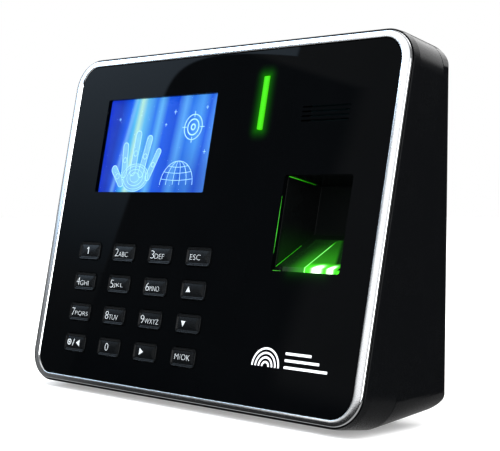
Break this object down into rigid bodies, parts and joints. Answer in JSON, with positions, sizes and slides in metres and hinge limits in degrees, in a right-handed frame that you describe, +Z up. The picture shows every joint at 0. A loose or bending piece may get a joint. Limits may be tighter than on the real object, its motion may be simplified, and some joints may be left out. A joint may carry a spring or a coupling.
{
  "type": "fingerprint scanner terminal",
  "caption": "Wedge-shaped access terminal with a tilted glossy front, colour display, push-button keypad, recessed optical finger reader and rear plate.",
  "frame": {"origin": "centre of the footprint, on the surface that the rubber feet stand on", "axes": "+X to the right of the front, +Y towards the back plate, +Z up"},
  "size_m": [0.1834, 0.0482, 0.1364],
  "materials": {
    "acrylic": "polished black acrylic",
    "window": "clear polished window over the display",
    "chrome": "bright plated",
    "casing": "semi-gloss moulded black",
    "key": "semi-gloss black key caps",
    "well": "glossy black moulding",
    "display": "lit colour display",
    "guide": "lit green light guide",
    "prism": "optical prism lit green from inside",
    "board": "solder-masked circuit board",
    "silicone": "moulded silicone",
    "steel": "plated sheet steel",
    "screw": "zinc-plated screw",
    "rubber": "black rubber",
    "battery": "shrink-wrapped cells",
    "terminal": "green terminal housing",
    "ribbon": "flat flexible cable",
    "cone": "paper speaker cone",
    "brass": "plated contact pin"
  },
  "bodies": {
    "housing": {"lens_panel": "acrylic", "display_window": "window", "bezel_ring": "chrome", "lcd_tray": "steel", "lcd_glass": "display", "light_guide": "guide", "status_led_board": "board", "speaker_basket": "steel", "speaker_cone": "cone", "speaker_magnet": "steel", "sensor_ribbon": "ribbon", "keypad_membrane": "silicone", "main_board": "board", "coin_cell": "steel", "front_casing": "casing", "rear_casing": "casing", "finger_well": "well", "sensor_prism": "prism", "sensor_holder": "casing", "sensor_camera": "casing", "sensor_board": "board", "sensor_led_strip": "board", "io_board": "board", "rj45_jack": "steel", "usb_socket": "steel", "usb_tongue": "casing", "dc_jack": "casing", "dc_pin": "brass", "terminal_block": "terminal", "reset_switch": "casing", "tamper_switch": "casing", "battery_pack": "battery", "wall_plate": "steel", "casing_screw_1": "screw", "casing_screw_2": "screw", "casing_screw_3": "screw", "casing_screw_4": "screw", "plate_lock_screw": "screw", "rubber_foot_1": "rubber", "rubber_foot_2": "rubber", "rubber_foot_3": "rubber", "rubber_foot_4": "rubber"},
    "key_1_body": {"key_1": "key"},
    "key_2_body": {"key_2": "key"},
    "key_3_body": {"key_3": "key"},
    "key_escape_body": {"key_escape": "key"},
    "key_4_body": {"key_4": "key"},
    "key_5_body": {"key_5": "key"},
    "key_6_body": {"key_6": "key"},
    "key_up_body": {"key_up": "key"},
    "key_7_body": {"key_7": "key"},
    "key_8_body": {"key_8": "key"},
    "key_9_body": {"key_9": "key"},
    "key_down_body": {"key_down": "key"},
    "key_left_body": {"key_left": "key"},
    "key_0_body": {"key_0": "key"},
    "key_right_body": {"key_right": "key"},
    "key_menu_body": {"key_menu": "key"},
    "reset_button_body": {"reset_button": "key"},
    "tamper_plunger_body": {"tamper_plunger": "key"}
  },
  "joints": [
    {"name": "key_1_press", "type": "slide", "parent": "housing", "child": "key_1_body", "axis": [0, 0.9774, -0.2113], "range_m": [0, 0.0008], "stiffness_N_per_m": 400},
    {"name": "key_2_press", "type": "slide", "parent": "housing", "child": "key_2_body", "axis": [0, 0.9774, -0.2113], "range_m": [0, 0.0008], "stiffness_N_per_m": 400},
    {"name": "key_3_press", "type": "slide", "parent": "housing", "child": "key_3_body", "axis": [0, 0.9774, -0.2113], "range_m": [0, 0.0008], "stiffness_N_per_m": 400},
    {"name": "key_escape_press", "type": "slide", "parent": "housing", "child": "key_escape_body", "axis": [0, 0.9774, -0.2113], "range_m": [0, 0.0008], "stiffness_N_per_m": 400},
    {"name": "key_4_press", "type": "slide", "parent": "housing", "child": "key_4_body", "axis": [0, 0.9774, -0.2113], "range_m": [0, 0.0008], "stiffness_N_per_m": 400},
    {"name": "key_5_press", "type": "slide", "parent": "housing", "child": "key_5_body", "axis": [0, 0.9774, -0.2113], "range_m": [0, 0.0008], "stiffness_N_per_m": 400},
    {"name": "key_6_press", "type": "slide", "parent": "housing", "child": "key_6_body", "axis": [0, 0.9774, -0.2113], "range_m": [0, 0.0008], "stiffness_N_per_m": 400},
    {"name": "key_up_press", "type": "slide", "parent": "housing", "child": "key_up_body", "axis": [0, 0.9774, -0.2113], "range_m": [0, 0.0008], "stiffness_N_per_m": 400},
    {"name": "key_7_press", "type": "slide", "parent": "housing", "child": "key_7_body", "axis": [0, 0.9774, -0.2113], "range_m": [0, 0.0008], "stiffness_N_per_m": 400},
    {"name": "key_8_press", "type": "slide", "parent": "housing", "child": "key_8_body", "axis": [0, 0.9774, -0.2113], "range_m": [0, 0.0008], "stiffness_N_per_m": 400},
    {"name": "key_9_press", "type": "slide", "parent": "housing", "child": "key_9_body", "axis": [0, 0.9774, -0.2113], "range_m": [0, 0.0008], "stiffness_N_per_m": 400},
    {"name": "key_down_press", "type": "slide", "parent": "housing", "child": "key_down_body", "axis": [0, 0.9774, -0.2113], "range_m": [0, 0.0008], "stiffness_N_per_m": 400},
    {"name": "key_left_press", "type": "slide", "parent": "housing", "child": "key_left_body", "axis": [0, 0.9774, -0.2113], "range_m": [0, 0.0008], "stiffness_N_per_m": 400},
    {"name": "key_0_press", "type": "slide", "parent": "housing", "child": "key_0_body", "axis": [0, 0.9774, -0.2113], "range_m": [0, 0.0008], "stiffness_N_per_m": 400},
    {"name": "key_right_press", "type": "slide", "parent": "housing", "child": "key_right_body", "axis": [0, 0.9774, -0.2113], "range_m": [0, 0.0008], "stiffness_N_per_m": 400},
    {"name": "key_menu_press", "type": "slide", "parent": "housing", "child": "key_menu_body", "axis": [0, 0.9774, -0.2113], "range_m": [0, 0.0008], "stiffness_N_per_m": 400},
    {"name": "reset_button_press", "type": "slide", "parent": "housing", "child": "reset_button_body", "axis": [0, -1, 0], "range_m": [0, 0.0008], "stiffness_N_per_m": 500},
    {"name": "tamper_plunger_press", "type": "slide", "parent": "housing", "child": "tamper_plunger_body", "axis": [0, -1, 0], "range_m": [0, 0.001], "stiffness_N_per_m": 300}
  ]
}
